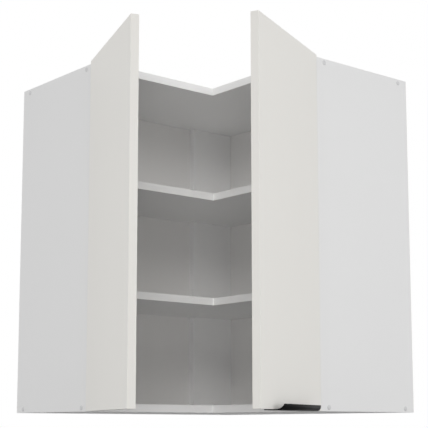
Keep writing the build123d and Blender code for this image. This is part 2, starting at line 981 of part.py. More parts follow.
with BuildPart() as handle_screws:
    pegs(
        handle_screw_face(),
        mirrored(handle_screw_points()),
        0,
        handle_plate + small_screw_grip - contact_gap,
        small_screw_radius,
    )
    sunk_heads(0, Mode.ADD)
save(handle_screws, "handle_screws")
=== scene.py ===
# %% [markdown]
# # A corner wall cabinet with two open doors
# A kitchen wall cabinet that fills a corner. Seen from above it is an L with two wings of
# 600 mm. It is made of white faced chipboard, and its two doors stand wide open.
# The carcass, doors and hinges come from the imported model, which is the fixed frame of
# this scene. Here the boards get their surfaces, and the small fittings get the finer
# shapes that catch the light: softened edges, domed caps and driven screw heads.

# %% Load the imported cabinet
import math

import bmesh
import bpy
from mathutils import Matrix, Vector


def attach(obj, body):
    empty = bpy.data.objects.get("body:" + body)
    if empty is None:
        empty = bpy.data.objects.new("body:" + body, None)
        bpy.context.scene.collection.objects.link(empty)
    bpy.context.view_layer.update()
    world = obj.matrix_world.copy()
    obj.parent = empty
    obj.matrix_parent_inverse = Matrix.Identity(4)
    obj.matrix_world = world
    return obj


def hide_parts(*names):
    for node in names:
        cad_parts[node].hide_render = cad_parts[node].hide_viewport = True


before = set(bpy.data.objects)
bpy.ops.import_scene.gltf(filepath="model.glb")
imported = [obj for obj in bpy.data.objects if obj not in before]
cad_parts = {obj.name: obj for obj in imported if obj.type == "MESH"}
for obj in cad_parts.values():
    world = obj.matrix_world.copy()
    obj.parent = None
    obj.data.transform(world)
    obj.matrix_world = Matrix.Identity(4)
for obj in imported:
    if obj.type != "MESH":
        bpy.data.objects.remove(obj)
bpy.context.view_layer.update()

# %% [markdown]
# ## The sizes that the fittings share
# The origin is the rear corner of the cabinet at its underside. The right wing runs along
# +X in front of the wall at Y = 0, and the left wing along -Y in front of the wall at
# X = 0. Each wing is described once by its directions, so a fitting that both wings have
# is written once and placed twice. All sizes are in metres.

# %% The two wings and their doors
WING = 0.600
BOARD = 0.016
HEIGHT = 0.716
DEPTH = 0.290
HINGE_HEIGHTS = (0.1005, 0.6145)
HANGER_MIDDLE = 0.671
UP = Vector((0, 0, 1))


def turned(degrees):
    """A level direction, counted from +X towards +Y."""
    return Vector((math.cos(math.radians(degrees)), math.sin(math.radians(degrees)), 0))


WINGS = {
    "left": {
        "along": Vector((0, -1, 0)),
        "forward": Vector((1, 0, 0)),
        "hinge": Vector((0.292, -0.598, 0)),
        "door_along": turned(-20),
        "door_out": turned(-110),
        "door_width": 0.300,
    },
    "right": {
        "along": Vector((1, 0, 0)),
        "forward": Vector((0, -1, 0)),
        "hinge": Vector((0.598, -0.292, 0)),
        "door_along": turned(-66),
        "door_out": turned(24),
        "door_width": 0.288,
    },
}


def panel_spot(side, depth, height, out=0.0, outside=False):
    """A point on an end panel, and the direction that its face looks in."""
    wing = WINGS[side]
    face = WING if outside else WING - BOARD
    normal = wing["along"] if outside else -wing["along"]
    return wing["along"] * face + wing["forward"] * depth + UP * height + normal * out, normal


def door_spot(side, along, height, out=0.0):
    """A point on the inner face of an open door, and the direction that the face looks in."""
    wing = WINGS[side]
    normal = -wing["door_out"]
    return wing["hinge"] + wing["door_along"] * along + UP * height + normal * out, normal


print("left door face looks", door_spot("left", 0, 0)[1], "right", door_spot("right", 0, 0)[1])

# %% [markdown]
# ## The camera
# The cabinet hangs at eye height, so the camera stands almost level with its underside
# and looks up a little at the open corner. A level camera with a very large lens shift
# would keep the uprights parallel, but it would push every other view out of the frame.
# Most of that shift is traded here for a small upward tilt.

# %% Place the camera
camera_data = bpy.data.cameras.new("camera")
camera_data.lens = 99.11
camera_data.sensor_width = 36.0
camera_data.shift_x = 0.0082
camera_data.shift_y = 0.10
camera = bpy.data.objects.new("camera", camera_data)
camera.location = (2.2448, -1.9176, -0.0327)
camera.rotation_euler = (math.radians(90 + 8.28), 0, math.radians(50.33))
bpy.context.scene.collection.objects.link(camera)
bpy.context.scene.camera = camera
print("camera stands", round(camera.location.length, 3), "m from the walls' corner")

# %% [markdown]
# ## Helpers for materials
# Every surface ends in one Principled shader. What is the same all over a surface, such as
# its metallic value, is set on the shader's own socket. What changes over the surface,
# such as its grain, comes from small node groups that several materials share. They read
# Object coordinates, so the grain has a real size and moves with its piece.


# %% Node helpers
def linear(red, green, blue):
    """A colour picked as 0 to 255 screen values, in the linear light that shaders use."""
    values = [channel / 255 for channel in (red, green, blue)]
    light = [v / 12.92 if v <= 0.04045 else ((v + 0.055) / 1.055) ** 2.4 for v in values]
    return (*light, 1.0)


def add_node(tree, kind, inputs=None, **settings):
    """Adds a node, sets its options, and fills or links its inputs."""
    node = tree.nodes.new(kind)
    for key, value in settings.items():
        setattr(node, key, value)
    for key, value in (inputs or {}).items():
        if isinstance(value, bpy.types.NodeSocket):
            tree.links.new(value, node.inputs[key])
        else:
            node.inputs[key].default_value = value
    return node


def calculate(tree, operation, first, second=0.0, third=0.0, clamp=False):
    """One Math node. Returns its output socket."""
    node = add_node(tree, "ShaderNodeMath", operation=operation, use_clamp=clamp)
    for socket, value in zip(node.inputs, (first, second, third)):
        if isinstance(value, bpy.types.NodeSocket):
            tree.links.new(value, socket)
        else:
            socket.default_value = value
    return node.outputs[0]


def mix_colors(tree, factor, first, second, blend="MIX"):
    """Mixes two colours. Returns the colour socket."""
    node = add_node(tree, "ShaderNodeMix", data_type="RGBA", blend_type=blend)
    for index, value in ((0, factor), (6, first), (7, second)):
        if isinstance(value, bpy.types.NodeSocket):
            tree.links.new(value, node.inputs[index])
        else:
            node.inputs[index].default_value = value
    return node.outputs[2]


def grey(tree, level):
    """A grey of one level. Returns the colour socket."""
    node = add_node(tree, "ShaderNodeCombineColor", {"Red": level, "Green": level, "Blue": level})
    return node.outputs[0]


def ramp(tree, factor, stops):
    """A colour ramp from (position, colour) stops."""
    node = add_node(tree, "ShaderNodeValToRGB", {"Fac": factor})
    elements = node.color_ramp.elements
    while len(elements) < len(stops):
        elements.new(0.5)
    for element, (position, color) in zip(elements, stops):
        element.position = position
        element.color = color
    return node.outputs["Color"]


def start_group(name, inputs, outputs):
    """A shader node group. Returns the group, its input sockets and its output node."""
    group = bpy.data.node_groups.new(name, "ShaderNodeTree")
    for label, value in inputs.items():
        kind = "NodeSocketColor" if isinstance(value, tuple) else "NodeSocketFloat"
        socket = group.interface.new_socket(name=label, in_out="INPUT", socket_type=kind)
        socket.default_value = value
    for label, kind in outputs.items():
        group.interface.new_socket(name=label, in_out="OUTPUT", socket_type=kind)
    given = group.nodes.new("NodeGroupInput").outputs
    result = group.nodes.new("NodeGroupOutput").inputs
    return group, given, result


def object_point(tree, stretch=(1, 1, 1)):
    """Object coordinates, stretched along the three axes."""
    place = add_node(tree, "ShaderNodeTexCoord").outputs["Object"]
    return add_node(tree, "ShaderNodeMapping", {"Vector": place, "Scale": stretch}).outputs[0]


def noise(tree, point, scale, detail=3.0, roughness=0.5):
    node = add_node(
        tree,
        "ShaderNodeTexNoise",
        {"Vector": point, "Scale": scale, "Detail": detail, "Roughness": roughness},
    )
    return node.outputs["Fac"]


print("node helpers ready")

# %% [markdown]
# ## The faced surface of the boards
# The white facing of such boards is printed paper pressed in resin. It is very even, but
# not perfect: the press plate leaves a fine pearl of about a millimetre, and the sheen
# drifts a little across a board. Noise in two sizes gives both. The broad one also moves
# the colour by about one percent, which the eye reads as a real sheet.

# %% Group: faced surface
faced_surface, given, result = start_group(
    "faced_surface",
    {
        "Color": (0.7, 0.7, 0.7, 1.0), "Pearl per metre": 900.0,
        "Mottle": 0.02, "Sheen": 0.45, "Drift": 0.06,
    },
    {"Color": "NodeSocketColor", "Roughness": "NodeSocketFloat", "Height": "NodeSocketFloat"},
)
tree, link = faced_surface, faced_surface.links.new
point = object_point(tree)
pearl = noise(tree, point, given["Pearl per metre"], 2.0, 0.6)
cloud = noise(tree, point, 6.0, 3.0, 0.55)
centred = calculate(tree, "SUBTRACT", cloud, 0.5)
brightness = calculate(tree, "MULTIPLY_ADD", centred, given["Mottle"], 1.0)
shade = grey(tree, brightness)
link(mix_colors(tree, 1.0, given["Color"], shade, "MULTIPLY"), result["Color"])
link(calculate(tree, "MULTIPLY_ADD", centred, given["Drift"], given["Sheen"]), result["Roughness"])
link(pearl, result["Height"])
print("faced surface:", len(tree.nodes), "nodes")

# %% [markdown]
# ## Edges of a board
# The front edge of a board is closed with a plastic band under a millimetre thick, whose
# glue line shows as a hair-thin line on the faces beside it. The rear edge goes against
# the wall and is left raw, so the pressed chips show. Both are found from the position
# alone: the front edges lie at one depth on both wings, and the rear edges on the walls.

# %% Group: front band and rear edge
board_edges, given, result = start_group(
    "board_edges",
    {"Front": 0.29, "Band": 0.0009, "Rear": 0.0003},
    {"Glue line": "NodeSocketFloat", "Raw": "NodeSocketFloat"},
)
tree, link = board_edges, board_edges.links.new
parts = add_node(tree, "ShaderNodeSeparateXYZ", {"Vector": object_point(tree)}).outputs
in_from_x = calculate(tree, "SUBTRACT", given["Front"], parts["X"])
in_from_y = calculate(tree, "ADD", given["Front"], parts["Y"])
inwards = calculate(tree, "MAXIMUM", in_from_x, in_from_y)
link(calculate(tree, "COMPARE", inwards, given["Band"], 0.00012), result["Glue line"])
from_wall = calculate(tree, "MINIMUM", parts["X"], calculate(tree, "MULTIPLY", parts["Y"], -1.0))
link(calculate(tree, "LESS_THAN", from_wall, given["Rear"]), result["Raw"])
print("board edges:", len(tree.nodes), "nodes")

# %% [markdown]
# ## Raw chipboard and raw fibreboard
# Chips of a few millimetres lie flat in the board, so on an edge they look long and thin.
# Voronoi cells squeezed upright give each chip its own shade of straw or brown. The thin
# backs are hardboard, which is plain brown outside with fine pressed fibres.

# %% Groups: chipboard core and fibreboard
chip_core, given, result = start_group(
    "chip_core",
    {"Chips per metre": 260.0},
    {"Color": "NodeSocketColor", "Height": "NodeSocketFloat"},
)
tree, link = chip_core, chip_core.links.new
flat_chips = object_point(tree, (1, 1, 3.2))
cells = add_node(
    tree, "ShaderNodeTexVoronoi", {"Vector": flat_chips, "Scale": given["Chips per metre"]}
)
chip_shade = add_node(tree, "ShaderNodeSeparateColor", {"Color": cells.outputs["Color"]})
chip_color = ramp(
    tree,
    chip_shade.outputs["Red"],
    [
        (0.0, linear(122, 92, 60)),
        (0.35, linear(176, 142, 100)),
        (0.7, linear(201, 172, 130)),
        (1.0, linear(222, 200, 162)),
    ],
)
link(chip_color, result["Color"])
fluff = noise(tree, flat_chips, 900.0)
link(calculate(tree, "ADD", cells.outputs["Distance"], fluff), result["Height"])
print("chip core:", len(tree.nodes), "nodes")

fibre_sheet, given, result = start_group(
    "fibre_sheet",
    {"Fibres per metre": 700.0},
    {"Color": "NodeSocketColor", "Height": "NodeSocketFloat"},
)
tree, link = fibre_sheet, fibre_sheet.links.new
fibres = noise(tree, object_point(tree, (1, 1, 0.35)), given["Fibres per metre"], 5.0, 0.65)
patches = noise(tree, object_point(tree), 9.0, 4.0, 0.6)
fine = calculate(tree, "MULTIPLY_ADD", fibres, 0.6, 0.1)
spread = calculate(tree, "MULTIPLY_ADD", patches, 0.2, fine)
browns = [(0.3, linear(128, 98, 68)), (0.7, linear(176, 145, 108))]
link(ramp(tree, spread, browns), result["Color"])
link(fibres, result["Height"])
print("fibre sheet:", len(tree.nodes), "nodes")

# %% [markdown]
# ## Plated steel, moulded plastic and powder coat
# Pressed hinge steel is satin nickel: fine rolled streaks in the sheen, and slight clouds.
# Moulded plastic has a soft eroded grain. The handle's powder coat has a fine orange peel
# with tiny darker pits.

# %% Groups: metal, plastic and powder coat
rolled_metal, given, result = start_group(
    "rolled_metal",
    {"Color": (0.6, 0.6, 0.6, 1.0), "Sheen": 0.3, "Streaks": 0.12},
    {"Color": "NodeSocketColor", "Roughness": "NodeSocketFloat", "Height": "NodeSocketFloat"},
)
tree, link = rolled_metal, rolled_metal.links.new
streaks = noise(tree, object_point(tree, (1, 1, 0.12)), 2600.0, 3.0, 0.6)
clouds = noise(tree, object_point(tree), 90.0, 3.0, 0.6)
rough = calculate(tree, "MULTIPLY_ADD", streaks, given["Streaks"], given["Sheen"])
link(rough, result["Roughness"])
dulling = calculate(tree, "MULTIPLY_ADD", clouds, 0.22, 0.86)
tone = grey(tree, dulling)
link(mix_colors(tree, 1.0, given["Color"], tone, "MULTIPLY"), result["Color"])
link(streaks, result["Height"])
print("rolled metal:", len(tree.nodes), "nodes")

fine_grain, given, result = start_group(
    "fine_grain",
    {
        "Color": (0.7, 0.7, 0.7, 1.0), "Dark": (0.6, 0.6, 0.6, 1.0),
        "Grain per metre": 1800.0, "Sheen": 0.4,
    },
    {"Color": "NodeSocketColor", "Roughness": "NodeSocketFloat", "Height": "NodeSocketFloat"},
)
tree, link = fine_grain, fine_grain.links.new
grain = noise(tree, object_point(tree), given["Grain per metre"], 3.0, 0.55)
broad = noise(tree, object_point(tree), 40.0, 2.0, 0.5)
pits = calculate(tree, "MULTIPLY", calculate(tree, "SUBTRACT", 0.62, grain, clamp=True), 1.6)
link(mix_colors(tree, pits, given["Color"], given["Dark"]), result["Color"])
link(calculate(tree, "MULTIPLY_ADD", broad, 0.12, given["Sheen"]), result["Roughness"])
link(grain, result["Height"])
print("fine grain:", len(tree.nodes), "nodes")


# %% [markdown]
# ## From groups to finished materials
# A material places a group, feeds its outputs to the Principled shader, and turns the
# group's height into a bump of a stated depth. The bump distance is in metres, and real
# surface grain is only hundredths of a millimetre deep.


# %% Material builder
def start_material(name, group, values, bump, **plain):
    """A Principled material fed by one group. bump is the grain's depth in metres."""
    material = bpy.data.materials.new(name)
    material.use_nodes = True
    tree = material.node_tree
    shader = tree.nodes["Principled BSDF"]
    for socket, value in plain.items():
        shader.inputs[socket.replace("_", " ")].default_value = value
    surface = add_node(tree, "ShaderNodeGroup", node_tree=group)
    for key, value in values.items():
        surface.inputs[key].default_value = value
    tree.links.new(surface.outputs["Color"], shader.inputs["Base Color"])
    if "Roughness" in surface.outputs:
        tree.links.new(surface.outputs["Roughness"], shader.inputs["Roughness"])
    relief = add_node(
        tree, "ShaderNodeBump",
        {"Strength": 0.6, "Distance": bump, "Height": surface.outputs["Height"]},
    )
    tree.links.new(relief.outputs["Normal"], shader.inputs["Normal"])
    return material, tree, shader, surface, relief


def board_material(name, color, front):
    """White faced chipboard: facing, glue line by the front band, raw rear edge."""
    material, tree, shader, surface, relief = start_material(
        name, faced_surface, {"Color": color}, 0.00004, Specular_IOR_Level=0.4
    )
    edges = add_node(tree, "ShaderNodeGroup", node_tree=board_edges)
    edges.inputs["Front"].default_value = front
    core = add_node(tree, "ShaderNodeGroup", node_tree=chip_core)
    line = mix_colors(tree, 0.22, surface.outputs["Color"], linear(120, 116, 108))
    banded = mix_colors(tree, edges.outputs["Glue line"], surface.outputs["Color"], line)
    raw = edges.outputs["Raw"]
    color = mix_colors(tree, raw, banded, core.outputs["Color"])
    tree.links.new(color, shader.inputs["Base Color"])
    rough = calculate(tree, "MULTIPLY_ADD", raw, 0.4, surface.outputs["Roughness"])
    tree.links.new(rough, shader.inputs["Roughness"])
    height = calculate(tree, "MULTIPLY_ADD", raw, core.outputs["Height"], surface.outputs["Height"])
    tree.links.new(height, relief.inputs["Height"])
    return material


PANEL_WHITE = linear(238, 238, 238)
DOOR_WHITE = linear(240, 238, 233)
carcass_board = board_material("white_faced_board", PANEL_WHITE, DEPTH)
shelf_board = board_material("white_faced_shelf", PANEL_WHITE, DEPTH - BOARD)
print("boards:", carcass_board.name, shelf_board.name)

# %% Doors, backs, plastics and metals
door_facing = start_material(
    "door_facing", faced_surface,
    {"Color": DOOR_WHITE, "Pearl per metre": 1300.0, "Sheen": 0.42}, 0.00003,
)[0]

back_facing, tree, shader, surface, relief = start_material(
    "white_faced_back", faced_surface, {"Color": linear(236, 235, 234), "Sheen": 0.55}, 0.00005
)
hidden_side = add_node(tree, "ShaderNodeGroup", node_tree=board_edges)
hidden_side.inputs["Rear"].default_value = 0.0131
brown = add_node(tree, "ShaderNodeGroup", node_tree=fibre_sheet)
raw = hidden_side.outputs["Raw"]
color = mix_colors(tree, raw, surface.outputs["Color"], brown.outputs["Color"])
tree.links.new(color, shader.inputs["Base Color"])
rough = calculate(tree, "MULTIPLY_ADD", raw, 0.25, surface.outputs["Roughness"])
tree.links.new(rough, shader.inputs["Roughness"])

white_plastic = start_material(
    "white_cap_plastic", fine_grain,
    {"Color": linear(220, 220, 221), "Dark": linear(208, 208, 209), "Sheen": 0.34}, 0.00002,
)[0]
hanger_nylon = start_material(
    "hanger_nylon", fine_grain,
    {"Color": linear(226, 224, 217), "Dark": linear(208, 205, 196), "Grain per metre": 1100.0},
    0.00004,
)[0]
beech_wood = start_material(
    "dowel_beech", fibre_sheet, {"Fibres per metre": 420.0}, 0.00006, Roughness=0.6
)[0]
satin_nickel = start_material(
    "satin_nickel", rolled_metal, {"Color": (0.62, 0.61, 0.59, 1)}, 0.00001, Metallic=1.0
)[0]
bright_zinc = start_material(
    "bright_zinc", rolled_metal,
    {"Color": (0.66, 0.67, 0.68, 1), "Sheen": 0.24}, 0.00001, Metallic=1.0,
)[0]
bright_nickel = start_material(
    "bright_nickel", rolled_metal,
    {"Color": (0.70, 0.69, 0.66, 1), "Sheen": 0.14, "Streaks": 0.08}, 0.000006, Metallic=1.0,
)[0]
clear_silicone = start_material(
    "clear_silicone", fine_grain,
    {"Color": linear(226, 228, 226), "Dark": linear(214, 217, 215), "Sheen": 0.22}, 0.00001,
    Transmission_Weight=0.55, IOR=1.41,
)[0]
powder_black = start_material(
    "powder_black", fine_grain,
    {
        "Color": linear(20, 20, 21), "Dark": linear(13, 13, 14),
        "Grain per metre": 2400.0, "Sheen": 0.26,
    },
    0.00002, Specular_IOR_Level=0.04,
)[0]
print("materials:", len(bpy.data.materials))

# %% [markdown]
# ## Dress the frame
# The boards, doors, dowels and hidden screws already have their true shape, so they stay
# as they are and take their materials. The raw rear edges and the brown sides of the
# backs come from the same materials, by position.

# %% Give the nodes their materials
NODE_FINISH = {
    carcass_board: [
        "left_side_panel", "right_side_panel", "top_board", "bottom_board", "corner_strip",
    ],
    shelf_board: ["upper_shelf", "lower_shelf"],
    back_facing: ["left_back_panel", "right_back_panel"],
    door_facing: ["left_door", "right_door"],
    white_plastic: ["screw_caps", "shelf_pins"],
    hanger_nylon: ["left_hanger_body", "right_hanger_body"],
    beech_wood: ["dowels"],
    bright_zinc: [
        "carcass_screws", "back_panel_screws", "hanger_screws", "hanger_adjusters",
        "hinge_plate_screws", "hinge_adjusting_screws", "left_cup_screws", "right_cup_screws",
        "handle_screws", "left_hanger_hook", "right_hanger_hook",
    ],
    satin_nickel: [
        "left_hinge_plates", "right_hinge_plates", "left_hinge_arms", "right_hinge_arms",
        "left_hinge_links", "right_hinge_links", "left_hinge_cups", "right_hinge_cups",
    ],
    bright_nickel: ["hinge_pivots"],
    clear_silicone: ["left_door_bumpers", "right_door_bumpers"],
    powder_black: ["handle"],
}
for material, names in NODE_FINISH.items():
    for name in names:
        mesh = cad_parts[name].data
        mesh.materials.clear()
        mesh.materials.append(material)
dressed = {name for names in NODE_FINISH.values() for name in names}
print("dressed", len(dressed), "of", len(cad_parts), "nodes")

# %% [markdown]
# ## Shapes for the fittings
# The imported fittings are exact, but their edges are perfectly sharp, and real pressed or
# moulded edges catch a thin line of light. A fitting with its own form is copied, its
# loose triangles are merged, and its sharp edges get a small bevel. Round things such as
# caps, pads and screws are drawn anew: half of the outline is spun round an axis, as on a
# lathe. A shape that repeats is made once and copied to every place.

# %% Shape helpers
SHARP = math.radians(25)


def to_object(name, shape, material):
    """Turns a bmesh into an object, smooth except across its sharp edges."""
    bmesh.ops.recalc_face_normals(shape, faces=shape.faces)
    for face in shape.faces:
        face.smooth = True
    for edge in shape.edges:
        edge.smooth = len(edge.link_faces) == 2 and edge.calc_face_angle() < SHARP
    mesh = bpy.data.meshes.new(name)
    shape.to_mesh(mesh)
    shape.free()
    mesh.materials.append(material)
    piece = bpy.data.objects.new(name, mesh)
    bpy.context.scene.collection.objects.link(piece)
    return piece


def standing(spot, normal):
    """The move that takes a shape drawn on the origin, facing up, to a spot on a face."""
    level = UP.cross(normal).normalized()
    axes = Matrix((level, normal.cross(level), normal)).transposed().to_4x4()
    return Matrix.Translation(spot) @ axes


def lathe(outline, steps):
    """Spins (radius, height) points round the upright axis into a closed shape."""
    shape = bmesh.new()
    points = [shape.verts.new((radius, 0, height)) for radius, height in outline]
    lines = [shape.edges.new(pair) for pair in zip(points, points[1:])]
    bmesh.ops.spin(
        shape, geom=points + lines, cent=(0, 0, 0), axis=(0, 0, 1),
        angle=math.tau, steps=steps, use_merge=True,
    )
    bmesh.ops.remove_doubles(shape, verts=shape.verts, dist=1e-6)
    return shape


def repeated(pattern, places):
    """One bmesh with a copy of the pattern at each place."""
    mesh = bpy.data.meshes.new("pattern")
    pattern.to_mesh(mesh)
    pattern.free()
    whole = bmesh.new()
    for place in places:
        count = len(whole.verts)
        whole.from_mesh(mesh)
        whole.verts.ensure_lookup_table()
        bmesh.ops.transform(whole, matrix=place, verts=whole.verts[count:])
    bpy.data.meshes.remove(mesh)
    return whole


print("shape helpers ready")

# %% [markdown]
# ## Handle, hinges and hangers with softened edges
# These are pressed steel and moulded nylon. The handle is bent from one strip of plate,
# so its edges are only lightly broken. Hinge parts are stamped, and the nylon hangers come
# rounder out of their mould. Each copy stands for its node and rides on the same body.

# %% Soften the pressed and moulded fittings
PRESSED = 0.00022
MOULDED = 0.0006
SOFTENED = [
    ("handle", "right_door", "handle_paint", powder_black, 0.0003),
    ("left_hinge_cups", "left_door", "hinge_steel", satin_nickel, PRESSED),
    ("right_hinge_cups", "right_door", "hinge_steel", satin_nickel, PRESSED),
    ("left_hinge_links", "left_hinge_links", "hinge_steel", satin_nickel, PRESSED),
    ("right_hinge_links", "right_hinge_links", "hinge_steel", satin_nickel, PRESSED),
    ("left_hinge_arms", "carcass", "hinge_steel", satin_nickel, PRESSED),
    ("right_hinge_arms", "carcass", "hinge_steel", satin_nickel, PRESSED),
    ("left_hinge_plates", "carcass", "hinge_steel", satin_nickel, PRESSED),
    ("right_hinge_plates", "carcass", "hinge_steel", satin_nickel, PRESSED),
    ("hinge_pivots", "carcass", "pin_steel", bright_nickel, 0.0003),
    ("shelf_pins", "carcass", "cap_plastic", white_plastic, 0.0003),
    ("left_hanger_body", "carcass", "hanger_plastic", hanger_nylon, MOULDED),
    ("right_hanger_body", "carcass", "hanger_plastic", hanger_nylon, MOULDED),
    ("left_hanger_hook", "carcass", "hook_steel", bright_zinc, 0.0004),
    ("right_hanger_hook", "carcass", "hook_steel", bright_zinc, 0.0004),
]
for node, body, slot, material, width in SOFTENED:
    shape = bmesh.new()
    shape.from_mesh(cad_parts[node].data)
    bmesh.ops.remove_doubles(shape, verts=shape.verts, dist=1e-6)
    bmesh.ops.dissolve_limit(
        shape, angle_limit=math.radians(1), use_dissolve_boundaries=False,
        verts=shape.verts, edges=shape.edges,
    )
    corners = [e for e in shape.edges if e.is_manifold and e.calc_face_angle() > math.radians(35)]
    bmesh.ops.bevel(
        shape, geom=corners, offset=width, offset_type="OFFSET", segments=2, profile=0.5,
        affect="EDGES", material=-1, clamp_overlap=True,
    )
    piece = to_object("soft_" + node, shape, material)
    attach(piece, body)
    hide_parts(node)
    print(piece.name, len(corners), "edges softened,", len(piece.data.polygons), "faces")

# %% [markdown]
# ## Screw caps and door pads
# A screw cap is a thin moulded button: nearly flat in the middle and rolled over at its
# rim. The door pad is a clear drop of silicone that takes the knock of the closing door.

# %% Spin the caps
CAP_DEPTHS = (0.026, 0.251)
CAP_OUTLINE = [
    (0, 0.00120), (0.0022, 0.00117), (0.0033, 0.00107), (0.0041, 0.00088),
    (0.0047, 0.00058), (0.0050, 0.00020), (0.0050, 0), (0, 0),
]
cap_places = [
    standing(*panel_spot(side, depth, height, outside=True))
    for side in WINGS
    for depth in CAP_DEPTHS
    for height in (BOARD / 2, HEIGHT - BOARD / 2)
]
caps = to_object("screw_cap_buttons", repeated(lathe(CAP_OUTLINE, 48), cap_places), white_plastic)
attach(caps, "carcass")
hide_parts("screw_caps")
print("caps:", len(cap_places))

# %% Spin the door pads
PAD_OUTLINE = [
    (0, 0.00170), (0.0013, 0.00163), (0.0024, 0.00140), (0.0033, 0.00098),
    (0.0039, 0.00042), (0.0040, 0), (0, 0),
]
PAD_FROM_EDGE = 0.020
PAD_HEIGHTS = (0.008, 0.707)
for side, wing in WINGS.items():
    pad_places = [
        standing(*door_spot(side, wing["door_width"] - PAD_FROM_EDGE, height))
        for height in PAD_HEIGHTS
    ]
    buttons = repeated(lathe(PAD_OUTLINE, 32), pad_places)
    pads = to_object(side + "_door_pads", buttons, clear_silicone)
    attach(pads, side + "_door")
    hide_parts(side + "_door_bumpers")
    print(pads.name, len(pad_places))

# %% [markdown]
# ## Cross-head screws
# Every small screw has a cross recess for the driver, and a recess only looks right if it
# is really cut. A flat cross is drawn first and sunk into the head. A ring round it is
# bridged to the cross, and then pulled out step by step over the head and down the shank.


# %% Screw pattern
def cross_screw(cross_reach, steps):
    """A screw that faces up. steps are (radius, height) from the ring round the cross."""
    shape = bmesh.new()
    (ring_radius, top), *rest = steps
    half_slot = cross_reach * 0.26
    quarter = [(cross_reach, -half_slot), (cross_reach, half_slot), (half_slot, half_slot)]
    corners = []
    for turn in range(4):
        for x, y in quarter:
            point = Matrix.Rotation(turn * math.pi / 2, 3, "Z") @ Vector((x, y, top))
            corners.append(shape.verts.new(point))
    cross = shape.faces.new(corners)
    ring = bmesh.ops.create_circle(
        shape, segments=24, radius=ring_radius, matrix=Matrix.Translation((0, 0, top))
    )["verts"]
    rim = {edge for vert in ring for edge in vert.link_edges}
    bmesh.ops.bridge_loops(shape, edges=list(cross.edges) + list(rim))
    sunk = bmesh.ops.extrude_discrete_faces(shape, faces=[cross])["faces"][0]
    depth = cross_reach * 0.55
    bmesh.ops.scale(shape, verts=sunk.verts, vec=(0.5, 0.5, 1))
    bmesh.ops.translate(shape, verts=sunk.verts, vec=(0, 0, -depth))
    radius, height = ring_radius, top
    for next_radius, next_height in rest:
        grown = bmesh.ops.extrude_edge_only(shape, edges=list(rim))["geom"]
        verts = [item for item in grown if isinstance(item, bmesh.types.BMVert)]
        rim = {item for item in grown if isinstance(item, bmesh.types.BMEdge)}
        rim = {edge for edge in rim if all(vert in verts for vert in edge.verts)}
        factor = next_radius / radius
        bmesh.ops.scale(shape, verts=verts, vec=(factor, factor, 1))
        bmesh.ops.translate(shape, verts=verts, vec=(0, 0, next_height - height))
        radius, height = next_radius, next_height
    bmesh.ops.edgeloop_fill(shape, edges=list(rim))
    return shape


def pan_head(grip):
    """Round-headed screw: a low dome, then a shank with a short point."""
    return cross_screw(0.0020, [
        (0.00235, 0.00130), (0.00285, 0.00112), (0.00312, 0.00080), (0.00320, 0.00040),
        (0.00320, 0), (0.00170, 0), (0.00170, 0.0022 - grip), (0.0005, -grip),
    ])


trial = pan_head(0.0127)
gaps = sum(not edge.is_manifold for edge in trial.edges)
print("one screw:", len(trial.faces), "faces, open edges:", gaps)
trial.free()

# %% Place the screws
BACK_FACE = 0.013
BACK_SCREWS = (("right", 0.024), ("left", 0.046), ("left", 0.106))
BACK_SCREW_HEIGHTS = (0.056, 0.358, 0.660)
PLATE_DEPTH = 0.253
PLATE_STEP = 0.016
ADJUSTING_DEPTHS = (0.2405, 0.2655)
HANGER_SCREW_DEPTHS = (0.030, 0.054)
CUP_MIDDLE = 0.032
CUP_STEP = 0.0225
SCREW_SETS = [
    (
        "hinge_plate_screws", "carcass", 0.0127,
        [
            panel_spot(side, PLATE_DEPTH, middle + step, 0.002)
            for side in WINGS for middle in HINGE_HEIGHTS for step in (-PLATE_STEP, PLATE_STEP)
        ],
    ),
    (
        "hinge_adjusting_screws", "carcass", 0.0107,
        [
            panel_spot(side, depth, middle, 0.011)
            for side in WINGS for middle in HINGE_HEIGHTS for depth in ADJUSTING_DEPTHS
        ],
    ),
    (
        "hanger_screws", "carcass", 0.026,
        [
            panel_spot(side, depth, 0.655, 0.015)
            for side in WINGS for depth in HANGER_SCREW_DEPTHS
        ],
    ),
    (
        "back_panel_screws", "carcass", 0.014,
        [
            (
                WINGS[side]["along"] * reach + WINGS[side]["forward"] * BACK_FACE + UP * height,
                -WINGS[side]["forward"],
            )
            for side, reach in BACK_SCREWS for height in BACK_SCREW_HEIGHTS
        ],
    ),
]
for side in WINGS:
    spots = [
        door_spot(side, CUP_MIDDLE, middle + step, 0.0012)
        for middle in HINGE_HEIGHTS for step in (-CUP_STEP, CUP_STEP)
    ]
    SCREW_SETS.append((side + "_cup_screws", side + "_door", 0.0119, spots))
for node, body, grip, spots in SCREW_SETS:
    places = [standing(spot, normal) for spot, normal in spots]
    piece = to_object("driven_" + node, repeated(pan_head(grip), places), bright_zinc)
    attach(piece, body)
    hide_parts(node)
    print(piece.name, len(places))

# %% [markdown]
# ## Set screws and handle screws
# The hangers are adjusted by two headless set screws each, flush with the nylon. The
# handle's screws sit flush in its rear flange.

# %% Place the headless screws
HANGER_REACH = 0.5765
HANGER_FRONT = 0.0683
ADJUSTER_STEP = 0.0105
set_screw = cross_screw(
    0.0019, [(0.0026, 0), (0.0030, -0.0004), (0.0030, -0.0137), (0.0027, -0.014)]
)
places = [
    standing(
        wing["along"] * HANGER_REACH + wing["forward"] * HANGER_FRONT + UP * height,
        wing["forward"],
    )
    for wing in WINGS.values()
    for height in (HANGER_MIDDLE - ADJUSTER_STEP, HANGER_MIDDLE + ADJUSTER_STEP)
]
adjusters = to_object("driven_hanger_adjusters", repeated(set_screw, places), bright_zinc)
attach(adjusters, "carcass")
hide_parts("hanger_adjusters")
print(adjusters.name, len(places))

